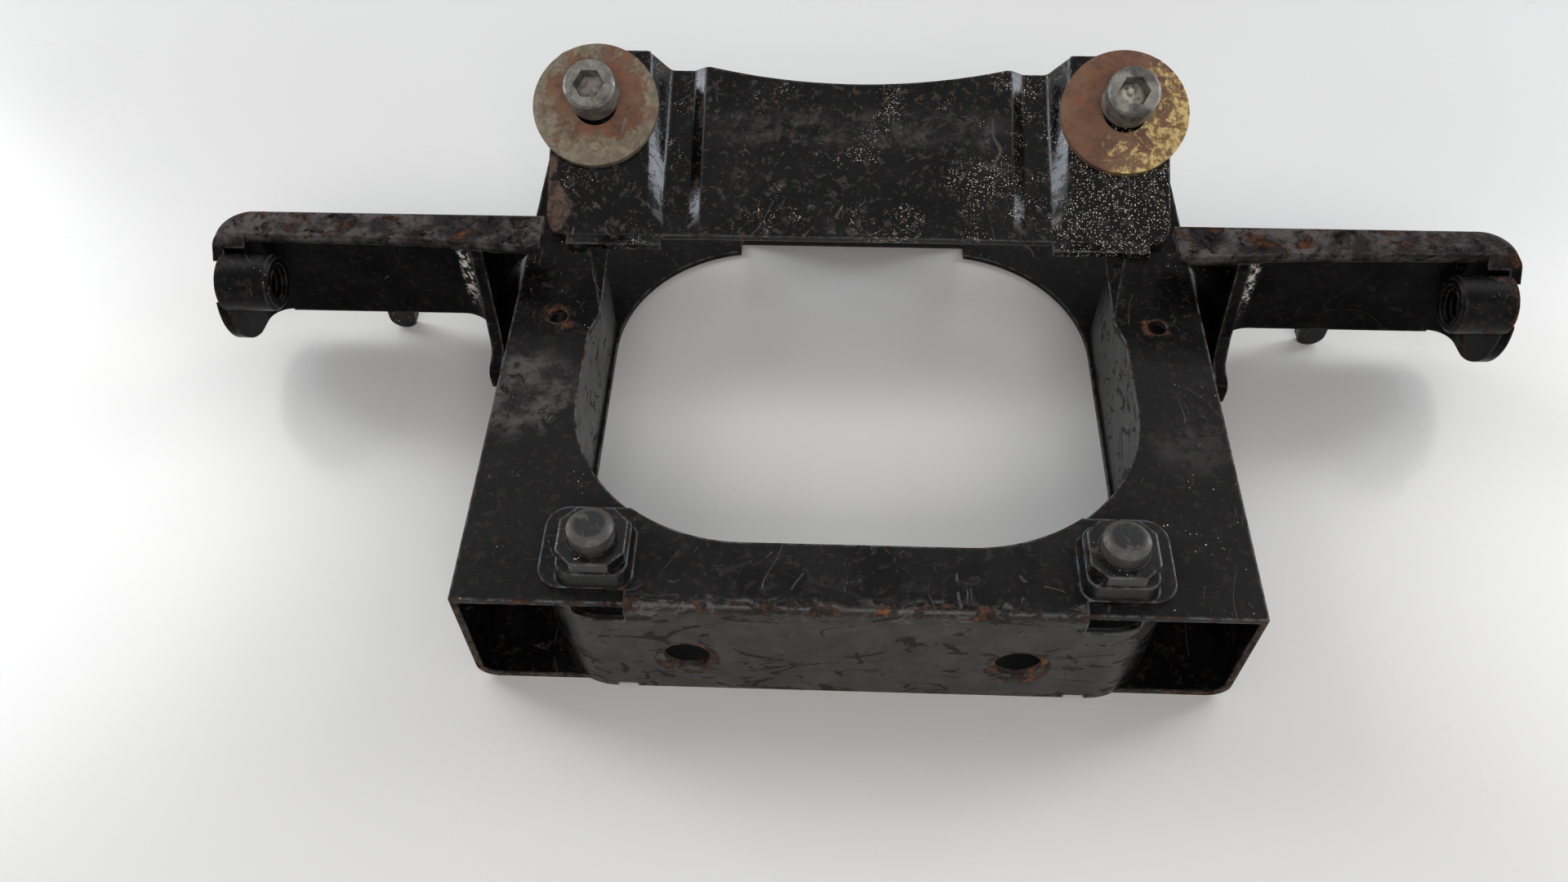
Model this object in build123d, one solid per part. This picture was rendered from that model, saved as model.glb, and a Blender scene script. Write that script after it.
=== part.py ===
from build123d import *
import os
from math import cos, radians, sin, tan

# Grab bar bracket: a welded assembly of pressed steel sheet.
# Millimetres. X runs across the bracket, Y from the front wall to the rear plate, Z up.
# The bracket is symmetric about X = 0, so every side piece is made on the right and mirrored.

# Box that the two legs and the front wall form
box_width = 165.0
leg_length = 146.0
box_height = 33.0
leg_width = 19.0
box_sheet = 1.5
floor_bend_radius = 4.5
seam_gap = 0.5

# Opening in the top sheet; its corners are arcs, and it narrows at the necks
opening_front = 14.5
opening_corner_radius = 40.0
neck_step = 2.0
neck_length = 6.6
fold_spread = 6.0
fold_length = 23.8
fold_end_before_plate = 1.6
flap_drop = 3.4
flap_reach = 4.4
drain_hole_diameter = 4.5
drain_hole_inset = 10.9
drain_hole_ahead = 1.6

# Opening in the floor and the tab folded up from its rear edge
floor_opening_inset = 0.3
floor_opening_rear_radius = 38.0
horn_length = 3.6
rear_tab_half_width = 31.3
rear_tab_relief = 0.5
rear_strip_depth = 6.4

# Front cross member
inner_wall_setback = 2.0
front_corner_radius = 14.0
front_bend_radius = 2.2
tab_reach = 18.8
front_hole_inset = 11.7
front_hole_diameter = 10.0
front_hole_height = 14.5
corner_notch_depth = 4.5
corner_notch_width = 11.0
foot_notch_width = 4.5
foot_notch_height = 1.3
tab_front = 2.5
tab_rear = 22.5
tab_inset = 0.5
tab_corner_radius = 5.0

# Bosses on the tabs, with their nuts and bolts
boss_inset = 11.7
boss_y = 10.4
boss_base = 15.6
boss_corner_radius = 3.0
boss_top = 14.6
boss_height = 4.2
nut_across = 14.0
nut_corner_cut = 3.2
nut_height = 3.2
stud_diameter = 9.6
stud_clearance = 0.5
stud_proud = 4.0
stud_tip_chamfer = 1.0
stud_head_diameter = 13.0
stud_head_height = 3.0

# Rear mounting plate: two raised pads, two grooves and a centre panel
plate_sheet = 1.8
plate_inset = 4.1
plate_slope = 24.0
plate_corner_radius = 5.0
plate_reach = 40.0
far_edge_length = 47.3
far_edge_dip = 4.5
far_edge_shoulder = 1.0
pad_slope = 32.0
pad_length = 48.2
pad_width = 24.9
pad_wall_run = 4.5
groove_floor_width = 6.2
groove_side_run = 3.3
groove_depth = 2.2
groove_run_in = 7.5
press_radius = 2.0
press_relief = 0.1
foot_inset = 5.4
foot_width = 24.0
foot_depth = 3.5

# Rear fasteners
screw_inset = 11.6
screw_along_pad = 34.6
screw_diameter = 8.0
screw_head_diameter = 13.0
screw_head_height = 8.0
screw_socket_across = 6.8
screw_socket_depth = 4.5
screw_length = 20.0
screw_loose = 2.0
head_edge_chamfer = 0.7
washer_diameter = 32.0
washer_clearance = 3.0
washer_thickness = 2.0
weld_nut_across = 14.0
weld_nut_height = 6.5
thread_clearance = 0.1
pad_hole_clearance = 1.0

# Arms
arm_sheet = 2.8
arm_reach = 75.5
arm_rise = 10.0
arm_height = 34.0
arm_behind_bend = 1.2
arm_end_corner_radius = 8.0
neck_standoff = 13.7
neck_bend_radius = 11.0
neck_length_to_weld = 37.8
neck_weld_length = 6.0
neck_merge_radius = 20.0
neck_drop_length = 28.8
neck_weld_height = 6.0
neck_end_radius = 2.4
arm_flange_overlap = 5.5
arm_flange_depth = 11.3
arm_flange_wave = 1.2
arm_top_edge_radius = 2.6

# Lug at the arm's end and its threaded boss; depths are from the arm's back, heights from its top
lug_top_depth = 9.4
lug_depth = 21.8
lug_nose_below = 21.0
lug_shoulder_depth = 20.2
lug_shoulder_below = 12.0
lug_heel_depth = 12.8
lug_heel_below = 32.0
arm_boss_depth = 16.8
arm_boss_below = 9.5
arm_boss_diameter = 14.0
arm_boss_length = 13.0
arm_thread_diameter = 9.2
arm_bolt_clearance = 0.5
arm_boss_edge = 0.8

# Gussets behind the arms
brace_sheet = 2.5
brace_below_top = 14.0
brace_height = 19.0
brace_top_reach = 29.5
brace_toe_reach = 40.1
brace_toe_radius = 3.7

# Sheet levels and edges that several pieces share
box_side = box_width / 2
top_sheet_under = box_height - box_sheet
flange_top = box_height + box_sheet
plate_top_at_start = box_height + plate_sheet
plate_start_y = leg_length - plate_reach
rear_tab_y = leg_length - rear_strip_depth
floor_opening_horn_y = rear_tab_y - horn_length

opening_half_width = box_side - leg_width
floor_opening_half_width = opening_half_width - floor_opening_inset
drain_hole_x = box_side - drain_hole_inset
neck_half_width = opening_half_width - neck_step
fold_end_half_width = neck_half_width + fold_spread
inner_wall_half_width = opening_half_width + inner_wall_setback
flange_half_width = inner_wall_half_width - tab_reach
tab_outer = inner_wall_half_width - tab_inset
boss_x = tab_outer - boss_inset
front_hole_x = flange_half_width - front_hole_inset

plate_half_width = box_side - plate_inset
pad_inner = plate_half_width - pad_width
groove_floor_outer = pad_inner - pad_wall_run
groove_floor_inner = groove_floor_outer - groove_floor_width
groove_inner = groove_floor_inner - groove_side_run
far_edge_dip_half_width = groove_inner - far_edge_shoulder
foot_outer = plate_half_width - foot_inset
foot_inner = foot_outer - foot_width
screw_x = plate_half_width - screw_inset
washer_hole = screw_diameter + washer_clearance
pad_hole_diameter = screw_diameter + pad_hole_clearance

arm_end = box_side + arm_reach
arm_top = box_height + arm_rise
web_bottom = arm_top - arm_height
arm_back_y = plate_start_y - arm_behind_bend
arm_flange_inner_end = box_side - arm_flange_overlap
arm_flange_front = arm_back_y - arm_flange_depth
neck_corner_x = box_side + neck_standoff
neck_merge_y = arm_back_y - neck_length_to_weld
neck_front = neck_merge_y - neck_weld_length
neck_flange_start = arm_back_y - neck_drop_length
neck_flange_bottom = box_height - neck_weld_height

lug_top_y = arm_back_y - lug_top_depth
lug_front = arm_back_y - lug_depth
lug_nose_z = arm_top - lug_nose_below
lug_shoulder_y = arm_back_y - lug_shoulder_depth
lug_shoulder_z = arm_top - lug_shoulder_below
lug_heel_y = arm_back_y - lug_heel_depth
lug_heel_z = arm_top - lug_heel_below
arm_boss_y = arm_back_y - arm_boss_depth
arm_boss_z = arm_top - arm_boss_below

brace_top = arm_top - brace_below_top
brace_bottom = brace_top - brace_height
brace_top_x = box_side + brace_top_reach
brace_toe_x = box_side + brace_toe_reach


fold_end_y = plate_start_y - fold_end_before_plate
neck_y = fold_end_y - fold_length
neck_start = neck_y - neck_length
drain_hole_y = neck_y - drain_hole_ahead


def block(x0, x1, y0, y1, z0, z1):
    """A box between two corners."""
    return Pos((x0 + x1) / 2, (y0 + y1) / 2, (z0 + z1) / 2) * Box(x1 - x0, y1 - y0, z1 - z0)


def both_sides(shape):
    """The piece itself and its mirror image across X = 0."""
    return [shape, mirror(shape, Plane.YZ)]


def prism_along_x(outline, x0, x1):
    """A face drawn as (Y, Z) and pushed along X."""
    plane = Plane(origin=(x0, 0, 0), x_dir=(0, 1, 0), z_dir=(1, 0, 0))
    return extrude(plane * outline, amount=x1 - x0)


def opening_outline(half_width, front, rear, front_radius, rear_radius):
    """Rounded opening of the box, seen from above."""
    face = Pos(0, (front + rear) / 2) * Rectangle(2 * half_width, rear - front)
    corners = face.vertices().group_by(Axis.Y)
    face = fillet(corners[0], front_radius)
    if rear_radius:
        far_corners = face.vertices().group_by(Axis.Y)[-1]
        face = fillet(far_corners, rear_radius)
    return face


def top_opening():
    """Opening in the top sheet: rounded in front, narrowed at the neck, open at the rear."""
    front_part = opening_outline(opening_half_width, opening_front, neck_start, opening_corner_radius, 0)
    rear_outline = Polyline(
        (opening_half_width, neck_start - seam_gap),
        (opening_half_width, neck_start),
        (neck_half_width, neck_y),
        (fold_end_half_width, fold_end_y),
        (fold_end_half_width, leg_length + seam_gap),
        (-fold_end_half_width, leg_length + seam_gap),
        (-fold_end_half_width, fold_end_y),
        (-neck_half_width, neck_y),
        (-opening_half_width, neck_start),
        (-opening_half_width, neck_start - seam_gap),
        close=True,
    )
    return front_part + make_face(rear_outline)


# The rear plate's sloping surfaces


def slope_point(slope, along, above=0.0):
    """(Y, Z) of a point on a plane that rises from the plate's bend."""
    a = radians(slope)
    y = plate_start_y + along * cos(a) - above * sin(a)
    z = plate_top_at_start + along * sin(a) + above * cos(a)
    return (y, z)


def pressed_line(y):
    """Top line of the pressed sheet across the bracket at one Y, drawn as (X, Z)."""
    run = y - plate_start_y
    base = plate_top_at_start + run * tan(radians(plate_slope))
    rise = run * (tan(radians(pad_slope)) - tan(radians(plate_slope)))
    # The groove deepens from the bend on and then keeps its depth.
    share = run / (groove_run_in * cos(radians(plate_slope)))
    dip = groove_depth * min(share, 1.0)
    right = [
        (groove_inner, base),
        (groove_floor_inner, base - dip - press_relief),
        (groove_floor_outer, base - dip - press_relief),
        (pad_inner, base + rise),
        (plate_half_width + seam_gap, base + rise),
    ]
    left = [(-x, z) for x, z in reversed(right)]
    return FilletPolyline(*(left + right), radius=press_radius)


def pressed_section(y):
    """Cut through the sheet at one Y: the top line and the same line one sheet lower."""
    top = pressed_line(y)
    under = Pos(0, -plate_sheet) * top
    ends = [Line(top @ 0, under @ 0), Line(top @ 1, under @ 1)]
    upright = Plane(origin=(0, y, 0), x_dir=(1, 0, 0), z_dir=(0, -1, 0))
    return upright * make_face(Curve() + [top, under] + ends)


def plate_outline_cutter():
    """Prism of the rear plate's outline, square to its sloping centre panel."""
    surface = Plane(
        origin=(0, plate_start_y, plate_top_at_start),
        x_dir=(1, 0, 0),
        z_dir=(0, -sin(radians(plate_slope)), cos(radians(plate_slope))),
    )
    # Seen square to the centre panel, the steeper pad looks a little shorter.
    pad_reach = pad_length * cos(radians(pad_slope - plate_slope))
    body = Pos(0, (pad_reach - seam_gap) / 2) * Rectangle(2 * plate_half_width, pad_reach + seam_gap)
    body = fillet(body.vertices(), plate_corner_radius)
    # Between the pads the far edge is a shallow arc.
    arc = ThreePointArc(
        (-far_edge_dip_half_width, far_edge_length),
        (0, far_edge_length - far_edge_dip),
        (far_edge_dip_half_width, far_edge_length),
    )
    over = far_edge_length + far_edge_dip
    rim = Polyline(
        (far_edge_dip_half_width, far_edge_length),
        (pad_inner, far_edge_length),
        (pad_inner, over),
        (-pad_inner, over),
        (-pad_inner, far_edge_length),
        (-far_edge_dip_half_width, far_edge_length),
    )
    body = body - make_face(Curve() + [arc, rim])
    return extrude(surface * body, amount=far_edge_length, both=True)


def screw_frame(side):
    """Frame of one rear screw: origin on the pad's surface, Z out along the screw."""
    y, z = slope_point(pad_slope, screw_along_pad)
    a = radians(pad_slope)
    return Plane(origin=(side * screw_x, y, z), x_dir=(1, 0, 0), z_dir=(0, -sin(a), cos(a)))


def rear_mounting_plate():
    """Sheet pressed with two raised pads and two grooves, on two flat feet."""
    stations = [
        plate_start_y,
        plate_start_y + groove_run_in * cos(radians(plate_slope)),
        plate_start_y + far_edge_length,
    ]
    sheet = loft([pressed_section(y) for y in stations], ruled=True)
    sheet = sheet & plate_outline_cutter()
    # Only over the legs does the sheet end in a flat foot.
    foot_front = plate_start_y - foot_depth
    foot = block(foot_inner, foot_outer, foot_front, plate_start_y, box_height, plate_top_at_start)
    for side in both_sides(foot):
        sheet = sheet + side
    for side in (-1, 1):
        bore = Cylinder(pad_hole_diameter / 2, 4 * plate_sheet)
        sheet = sheet - screw_frame(side) * bore
    return sheet


# The box


def lower_shell():
    """Floor and outer walls pressed as one tray, with the rear tab folded up."""
    wall_top = top_sheet_under
    outer = block(-box_side, box_side, 0, leg_length, 0, wall_top)
    outer = fillet(outer.edges().filter_by(Axis.Y).group_by(Axis.Z)[0], floor_bend_radius)
    half_inside = box_side - box_sheet
    inner = block(-half_inside, half_inside, -seam_gap, leg_length + seam_gap, box_sheet, 2 * wall_top)
    inner_bend = floor_bend_radius - box_sheet
    inner = fillet(inner.edges().filter_by(Axis.Y).group_by(Axis.Z)[0], inner_bend)
    tray = outer - inner
    opening = opening_outline(
        floor_opening_half_width,
        opening_front,
        floor_opening_horn_y,
        opening_corner_radius,
        floor_opening_rear_radius,
    )
    slot_half = rear_tab_half_width + rear_tab_relief
    slot_depth = rear_tab_y - floor_opening_horn_y + floor_opening_rear_radius / 2
    slot = Pos(0, rear_tab_y - slot_depth / 2) * Rectangle(2 * slot_half, slot_depth)
    tray = tray - extrude(opening + slot, amount=box_sheet + seam_gap)
    # The tab is folded up from the floor until it meets the underside of the rear plate.
    near = rear_tab_y - plate_start_y
    far = near + box_sheet
    rise = tan(radians(plate_slope))
    tab_profile = Polyline(
        (rear_tab_y, 0),
        (rear_tab_y, box_height + near * rise),
        (rear_tab_y + box_sheet, box_height + far * rise),
        (rear_tab_y + box_sheet, 0),
        close=True,
    )
    tab = prism_along_x(make_face(tab_profile), -rear_tab_half_width, rear_tab_half_width)
    return tray + tab


def folded_flap():
    """Small triangle at the neck of the right leg's top sheet, folded down into the opening."""
    fold_start = Vector(neck_half_width, neck_y, box_height)
    fold_end = Vector(fold_end_half_width, fold_end_y, box_height)
    tip = Vector(fold_end_half_width - flap_reach, fold_end_y + flap_drop, box_height - flap_drop)
    face = make_face(Polyline(fold_start, fold_end, tip, close=True))
    normal = (fold_end - fold_start).cross(tip - fold_start).normalized()
    if normal.Z > 0:
        normal = -normal
    return extrude(face, amount=box_sheet, dir=normal)


def upper_plate():
    """Flat sheet over both legs."""
    outline = Pos(0, leg_length / 2) * Rectangle(box_width, leg_length) - top_opening()
    sheet = Pos(0, 0, top_sheet_under) * extrude(outline, amount=box_sheet)
    for side in both_sides(folded_flap()):
        sheet = sheet + side
    hole = Pos(drain_hole_x, drain_hole_y, box_height) * Cylinder(drain_hole_diameter / 2, 4 * box_sheet)
    for side in both_sides(hole):
        sheet = sheet - side
    bolt_hole = Pos(boss_x, boss_y, box_height) * Cylinder(stud_diameter / 2 + stud_clearance, 4 * box_sheet)
    for side in both_sides(bolt_hole):
        sheet = sheet - side
    return sheet


def plan_u(half_width, front, rear, radius):
    """Face of a U-shaped plan with rounded front corners."""
    face = Pos(0, (front + rear) / 2) * Rectangle(2 * half_width, rear - front)
    return fillet(face.vertices().group_by(Axis.Y)[0], radius)


def boss_solid(smaller_by):
    """Raised boss with leaning sides, base at Z = 0."""
    radius = boss_corner_radius - smaller_by / 2
    lower = RectangleRounded(boss_base - smaller_by, boss_base - smaller_by, radius)
    upper = Pos(0, 0, boss_height) * RectangleRounded(boss_top - smaller_by, boss_top - smaller_by, radius)
    return loft([lower, upper], ruled=True)


def front_cross_member():
    """Front wall whose ends curve back as the inner walls, with its top flange and bosses."""
    wall_rear = fold_end_y
    inner_half = inner_wall_half_width - box_sheet
    outer_plan = plan_u(inner_wall_half_width, -box_sheet, wall_rear, front_corner_radius)
    inner_plan = plan_u(inner_half, 0, wall_rear + seam_gap, front_corner_radius - box_sheet)
    walls = extrude(outer_plan - inner_plan, amount=top_sheet_under)
    # In front of the floor's edge the walls reach the table, behind it they stand on the floor.
    walls = walls - block(-box_side, box_side, 0, leg_length, 0, box_sheet)
    # Room under the folded flaps
    room_bottom = box_height - 2 * flap_drop
    room = block(inner_half - box_sheet, fold_end_half_width, neck_y, leg_length, room_bottom, box_height)
    for side in both_sides(room):
        walls = walls - side
    front_strip = block(-flange_half_width, flange_half_width, -box_sheet, 0, 0, flange_top)
    flange = Pos(0, (tab_rear - box_sheet) / 2) * Rectangle(2 * flange_half_width, tab_rear + box_sheet)
    tab_width = tab_outer - flange_half_width + 2 * tab_corner_radius
    tab_face = RectangleRounded(tab_width, tab_rear - tab_front, tab_corner_radius)
    tab_face = Pos(tab_outer - tab_width / 2, (tab_front + tab_rear) / 2) * tab_face
    flange = flange + tab_face + mirror(tab_face, Plane.YZ)
    flange = flange - top_opening()
    member = walls + front_strip + Pos(0, 0, box_height) * extrude(flange, amount=box_sheet)
    front_edges = member.edges().filter_by(Axis.X)
    bend = [
        e
        for e in front_edges
        if abs(e.center().Z - flange_top) < 0.01 and abs(e.center().Y + box_sheet) < 0.01
    ]
    member = fillet(bend, front_bend_radius)
    notch_outer = flange_half_width + corner_notch_width
    notch_bottom = box_height - corner_notch_depth
    notch = block(flange_half_width, notch_outer, -2 * box_sheet, tab_front, notch_bottom, box_height)
    for side in both_sides(notch):
        member = member - side
    notch_outer = flange_half_width + foot_notch_width
    foot_notch = block(flange_half_width, notch_outer, -2 * box_sheet, tab_front, 0, foot_notch_height)
    for side in both_sides(foot_notch):
        member = member - side
    # Bosses, hollow from below as the press leaves them
    boss_place = Pos(boss_x, boss_y, flange_top)
    cavity_place = Pos(boss_x, boss_y, box_height)
    boss = boss_place * boss_solid(0)
    cavity = cavity_place * boss_solid(2 * box_sheet)
    bolt_hole = boss_place * Cylinder(stud_diameter / 2 + stud_clearance, 4 * boss_height)
    for side in both_sides(boss):
        member = member + side
    for side in both_sides(cavity):
        member = member - side
    for side in both_sides(bolt_hole):
        member = member - side
    for side in (-1, 1):
        bore = Pos(side * front_hole_x, 0, front_hole_height) * Rot(90, 0, 0)
        member = member - bore * Cylinder(front_hole_diameter / 2, 6 * box_sheet)
    return member


# Arms


def arm():
    """Right arm: flange, web, lug and neck pressed from one sheet."""
    inner_end = arm_flange_inner_end
    web_start = neck_corner_x + neck_bend_radius
    behind = arm_back_y - arm_sheet
    under_flange = arm_top - arm_sheet
    # Bent sheet over the flange, web and lug, still uncut
    outside = block(inner_end, arm_end, lug_front - arm_sheet, arm_back_y, web_bottom, arm_top)
    upright = outside.edges().filter_by(Axis.Z).sort_by_distance((arm_end, arm_back_y, arm_top))[0]
    outside = fillet(upright, arm_end_corner_radius)
    top_edges = outside.edges().group_by(Axis.Z)[-1]
    bent_edges = [e for e in top_edges if e.center().Y > behind or e.center().X > arm_end - arm_sheet]
    outside = fillet(bent_edges, arm_top_edge_radius)
    inside = block(
        inner_end - seam_gap,
        arm_end - arm_sheet,
        lug_front - 2 * arm_sheet,
        behind,
        web_bottom - seam_gap,
        under_flange,
    )
    upright = inside.edges().filter_by(Axis.Z).sort_by_distance((arm_end, arm_back_y, arm_top))[0]
    inside = fillet(upright, arm_end_corner_radius - arm_sheet)
    shell = outside - inside
    # Flange, whose cut edge in front is widest at the leg and slightly hollow on the way out
    front = arm_flange_front - arm_flange_wave
    hollow = arm_flange_front + arm_flange_wave
    back = arm_back_y + seam_gap
    flange_outline = Polyline(
        (arm_end, lug_top_y),
        (neck_corner_x + arm_flange_depth, hollow),
        (inner_end, front),
        (inner_end, back),
        (arm_end, back),
        close=True,
    )
    flange_plan = make_face(flange_outline)
    inner_corners = flange_plan.vertices().group_by(Axis.X)[0]
    flange_plan = fillet(inner_corners, arm_sheet)
    flange_region = Pos(0, 0, under_flange) * extrude(flange_plan, amount=2 * arm_sheet)
    # Lug: its near edge leaves the flange, swells to a rounded nose and returns to the web.
    lug_edge = Curve() + [
        Line((back, arm_top), (lug_top_y, arm_top)),
        Line((lug_top_y, arm_top), (lug_shoulder_y, lug_shoulder_z)),
        ThreePointArc((lug_shoulder_y, lug_shoulder_z), (lug_front, lug_nose_z), (lug_heel_y, lug_heel_z)),
        Line((lug_heel_y, lug_heel_z), (back, web_bottom)),
        Line((back, web_bottom), (back, arm_top)),
    ]
    lug_start = arm_end - arm_end_corner_radius
    lug_region = prism_along_x(make_face(lug_edge), lug_start, arm_end)
    web_region = block(web_start, lug_start, behind, arm_back_y, web_bottom, arm_top)
    # Neck: turns from the web to the leg and ends in a lower, rounded weld flange.
    middle = arm_sheet / 2
    neck_line = FilletPolyline(
        (web_start, arm_back_y - middle),
        (neck_corner_x, arm_back_y - middle),
        (box_side + middle, neck_merge_y),
        (box_side + middle, neck_front),
        radius=(neck_bend_radius, neck_merge_radius),
    )
    neck_plan = trace(neck_line, arm_sheet)
    neck_wall = Pos(0, 0, web_bottom) * extrude(neck_plan, amount=under_flange - web_bottom)
    neck_outline = Polyline(
        (back, under_flange),
        (arm_flange_front - arm_sheet, under_flange),
        (neck_flange_start, box_height),
        (neck_front, box_height),
        (neck_front, neck_flange_bottom),
        (arm_flange_front - arm_sheet, web_bottom),
        (back, web_bottom),
        close=True,
    )
    neck_face = make_face(neck_outline)
    near_points = neck_face.vertices().group_by(Axis.X)[0]
    neck_face = fillet(near_points, neck_end_radius)
    neck_region = prism_along_x(neck_face, box_side - seam_gap, web_start)
    body = (shell & flange_region) + (shell & (lug_region + web_region)) + (neck_wall & neck_region)
    bolt_hole = Pos(arm_end, arm_boss_y, arm_boss_z) * Rot(0, 90, 0)
    return body - bolt_hole * Cylinder(arm_thread_diameter / 2 + arm_bolt_clearance, 6 * arm_sheet)


def arm_boss():
    """Threaded boss on the inside of the right lug."""
    tube = Cylinder(arm_boss_diameter / 2, arm_boss_length)
    tube = chamfer(tube.edges().group_by(Axis.Z)[0], arm_boss_edge)
    tube = tube - Cylinder(arm_thread_diameter / 2, 2 * arm_boss_length)
    middle = arm_end - arm_sheet - arm_boss_length / 2
    return Pos(middle, arm_boss_y, arm_boss_z) * Rot(0, 90, 0) * tube


def brace():
    """Right gusset: flat on the back of the web, with a rounded toe that stands on the table."""
    toe_outer = brace_toe_x + brace_toe_radius
    gusset = Polyline(
        (box_side, brace_bottom),
        (toe_outer, brace_bottom),
        (brace_top_x, brace_top),
        (box_side, brace_top),
        close=True,
    )
    leg_height = brace_bottom - brace_toe_radius
    leg = Pos(brace_toe_x, brace_toe_radius + leg_height / 2) * Rectangle(2 * brace_toe_radius, leg_height)
    toe = Pos(brace_toe_x, brace_toe_radius) * Circle(brace_toe_radius)
    upright = Plane(origin=(0, arm_back_y, 0), x_dir=(1, 0, 0), z_dir=(0, -1, 0))
    return extrude(upright * (make_face(gusset) + leg + toe), amount=-brace_sheet)


# Fasteners


def nut_plate():
    """Eight-sided nut on a front boss."""
    face = Rectangle(nut_across, nut_across)
    face = chamfer(face.vertices(), nut_corner_cut)
    nut = extrude(face, amount=nut_height) - Cylinder(stud_diameter / 2 + thread_clearance, 4 * nut_height)
    return Pos(boss_x, boss_y, flange_top + boss_height) * nut


def stud_bolt():
    """Bolt through a front boss: low round head under the top sheet, worn tip above the nut."""
    tip = flange_top + boss_height + nut_height + stud_proud
    length = tip - top_sheet_under
    shank = Pos(0, 0, length / 2) * Cylinder(stud_diameter / 2, length)
    shank = chamfer(shank.edges().group_by(Axis.Z)[-1], stud_tip_chamfer)
    head = Pos(0, 0, -stud_head_height / 2) * Cylinder(stud_head_diameter / 2, stud_head_height)
    return Pos(boss_x, boss_y, top_sheet_under) * (shank + head)


def washer():
    """Large washer, slipped down the pad until its hole rests on the screw."""
    slip = (washer_hole - screw_diameter) / 2
    ring = Cylinder(washer_diameter / 2, washer_thickness) - Cylinder(washer_hole / 2, 2 * washer_thickness)
    return Pos(0, -slip, washer_thickness / 2) * ring


def socket_screw():
    """Hexagon socket head screw, standing a little off its washer."""
    under_head = washer_thickness + screw_loose
    head_middle = under_head + screw_head_height / 2
    head = Pos(0, 0, head_middle) * Cylinder(screw_head_diameter / 2, screw_head_height)
    head = chamfer(head.edges().group_by(Axis.Z)[-1], head_edge_chamfer)
    socket_face = RegularPolygon(screw_socket_across / 2, 6, major_radius=False)
    socket_floor = under_head + screw_head_height - screw_socket_depth
    head = head - Pos(0, 0, socket_floor) * extrude(socket_face, amount=2 * screw_socket_depth)
    shank = Pos(0, 0, under_head - screw_length / 2) * Cylinder(screw_diameter / 2, screw_length)
    shank = chamfer(shank.edges().group_by(Axis.Z)[0], head_edge_chamfer)
    return head + shank


def weld_nut():
    """Square nut welded behind the pad."""
    sheet_along_screw = plate_sheet * cos(radians(pad_slope))
    nut = Box(weld_nut_across, weld_nut_across, weld_nut_height)
    nut = nut - Cylinder(screw_diameter / 2 + thread_clearance, 2 * weld_nut_height)
    return Pos(0, 0, -sheet_along_screw - weld_nut_height / 2) * nut


def on_pads(piece):
    """The same fastener at both rear screws."""
    return [screw_frame(side) * piece for side in (-1, 1)]


pieces = {
    "lower_shell": [lower_shell()],
    "upper_plate": [upper_plate()],
    "front_cross_member": [front_cross_member()],
    "rear_mounting_plate": [rear_mounting_plate()],
    "right_arm": [arm()],
    "left_arm": [mirror(arm(), Plane.YZ)],
    "right_brace": [brace()],
    "left_brace": [mirror(brace(), Plane.YZ)],
    "arm_thread_bosses": both_sides(arm_boss()),
    "nut_plates": both_sides(nut_plate()),
    "stud_bolts": both_sides(stud_bolt()),
    "washers": on_pads(washer()),
    "socket_screws": on_pads(socket_screw()),
    "weld_nuts": on_pads(weld_nut()),
}

# The origin lies on the table, under the middle of the whole bracket.
everything = Compound(children=[Compound(children=shapes) for shapes in pieces.values()])
middle = everything.bounding_box().center()
to_origin = Pos(-middle.X, -middle.Y, 0)

os.makedirs("parts", exist_ok=True)
for name, shapes in pieces.items():
    solids = [s for shape in shapes for s in shape.solids()]
    placed = [to_origin * s for s in solids]
    node = placed[0] if len(placed) == 1 else Compound(children=placed)
    export_step(node, f"parts/{name}.step")
print("shift from the near edge of the box to the origin:", round(middle.Y, 4))
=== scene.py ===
# %% [markdown]
# # A worn bracket of pressed steel
# The real object is a bracket welded together from pressed steel sheet, painted black and then used
# outdoors for years. Its shape comes from the imported solids. This lesson gives each of them the
# paint, specks, scratches and rust of the real one. It also models two forms that the solids leave
# out: the threads in the arms' sleeves, and the curved cheeks of the necks. The first cell loads the
# frame and prints what there is to work on.

# %% Load the frame
import math

import bpy
from mathutils import Matrix, Vector


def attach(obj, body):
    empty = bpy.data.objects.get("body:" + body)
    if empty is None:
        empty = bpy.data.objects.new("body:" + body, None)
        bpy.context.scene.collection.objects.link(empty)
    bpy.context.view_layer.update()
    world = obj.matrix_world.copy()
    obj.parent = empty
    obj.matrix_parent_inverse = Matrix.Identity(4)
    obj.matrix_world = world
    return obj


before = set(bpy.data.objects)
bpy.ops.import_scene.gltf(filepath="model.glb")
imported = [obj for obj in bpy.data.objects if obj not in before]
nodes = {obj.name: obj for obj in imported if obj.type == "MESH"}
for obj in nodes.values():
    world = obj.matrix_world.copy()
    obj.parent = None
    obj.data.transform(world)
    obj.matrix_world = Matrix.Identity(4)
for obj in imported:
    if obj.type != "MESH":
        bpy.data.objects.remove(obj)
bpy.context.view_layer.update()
print("nodes:", ", ".join(sorted(nodes)))

# %% [markdown]
# The bracket is seen from above and in front, by a camera held about a third of a metre away. A
# camera is an object whose local axes say where right, up and back are, so its matrix can be written
# down directly. That is steadier than aiming it by hand.

# %% Camera
LENS_MM = 28.82
SENSOR_MM = 36.0
eye = Vector((-0.007007, -0.202558, 0.253155))
right = Vector((0.99926, 0.03669, -0.01131))
up = Vector((-0.02208, 0.79019, 0.61246))
back = Vector((0.03141, -0.61176, 0.79042))

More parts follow.
